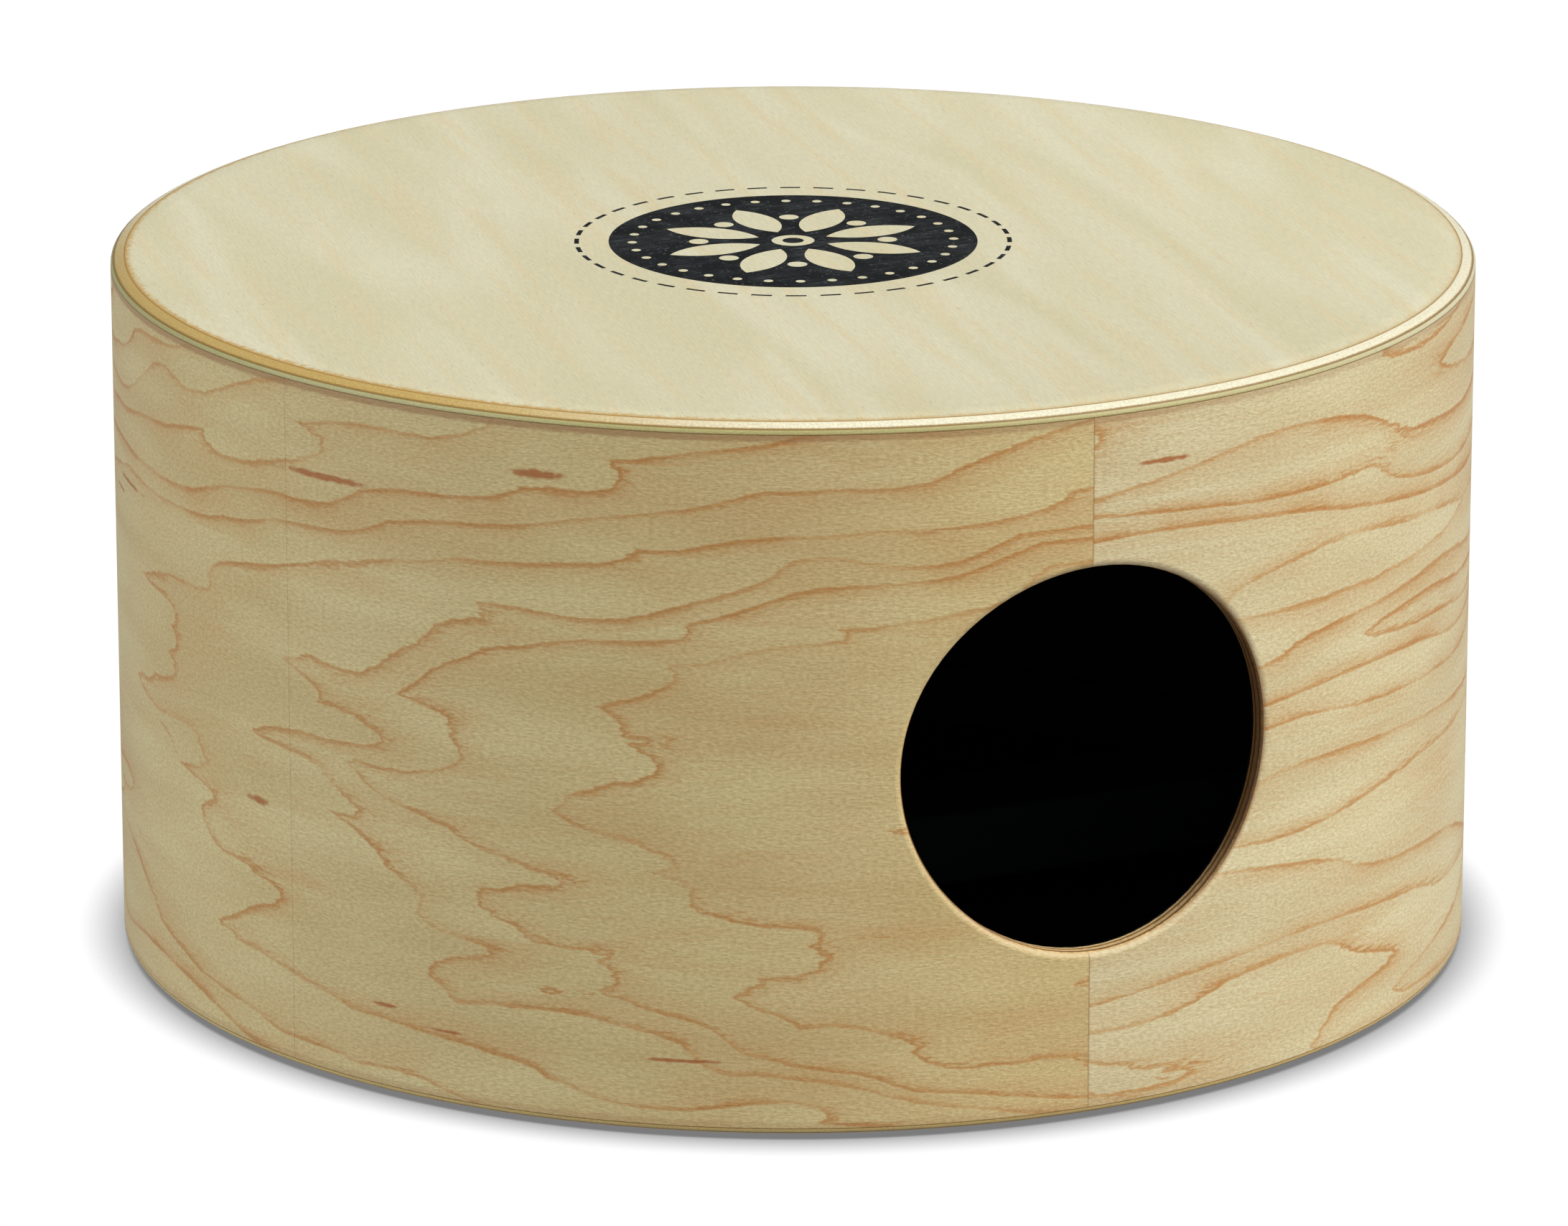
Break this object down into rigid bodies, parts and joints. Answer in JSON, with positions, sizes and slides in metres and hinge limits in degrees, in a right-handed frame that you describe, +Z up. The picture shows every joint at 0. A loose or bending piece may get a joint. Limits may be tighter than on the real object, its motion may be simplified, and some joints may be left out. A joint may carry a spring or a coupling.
{
  "type": "round cajon",
  "caption": "Low round cajon: bent plywood shell faced with maple, a thin birch head glued on each end, a round sound port in the side and snare wires inside the lower head.",
  "frame": {"origin": "centre of the outer face of the lower head, on the surface the drum stands on", "axes": "+Z up along the drum's axis, the sound port looks along -Y"},
  "size_m": [0.3174, 0.3174, 0.1651],
  "materials": {
    "birch_face": "sanded birch face veneer, clear satin lacquer",
    "birch_core": "birch core veneer, sanded edge under clear lacquer",
    "birch_back": "birch back veneer, sanded edge under clear lacquer",
    "maple_veneer": "flat-sliced maple veneer, clear satin lacquer",
    "shell_plywood": "bent plywood, raw edges",
    "shell_lining": "inner veneer, sprayed matt black",
    "hoop_wood": "steam-bent hardwood, sprayed matt black",
    "rail_wood": "planed hardwood, sprayed matt black",
    "zinc_screw": "bright zinc plate",
    "plate_steel": "nickel-plated pressed strip",
    "wire_steel": "bright coiled steel wire",
    "black_ink": "screen-printed black ink under lacquer"
  },
  "bodies": {
    "root": {"top_head_face_ply": "birch_face", "top_head_core_ply": "birch_core", "top_head_back_ply": "birch_back", "bottom_head_face_ply": "birch_face", "bottom_head_core_ply": "birch_core", "bottom_head_back_ply": "birch_back", "maple_sheet_1": "maple_veneer", "maple_sheet_2": "maple_veneer", "maple_sheet_3": "maple_veneer", "maple_sheet_4": "maple_veneer", "maple_sheet_5": "maple_veneer", "shell_core": "shell_plywood", "shell_lining": "shell_lining", "upper_glue_hoop": "hoop_wood", "lower_glue_hoop": "hoop_wood", "snare_rail": "rail_wood", "rail_block_left": "rail_wood", "rail_block_right": "rail_wood", "rail_screws": "zinc_screw", "plate_screws": "zinc_screw", "snare_plate_front": "plate_steel", "snare_plate_back": "plate_steel", "snare_wires_front": "wire_steel", "snare_wires_back": "wire_steel", "printed_disc": "black_ink", "printed_ring": "black_ink"}
  },
  "joints": []
}
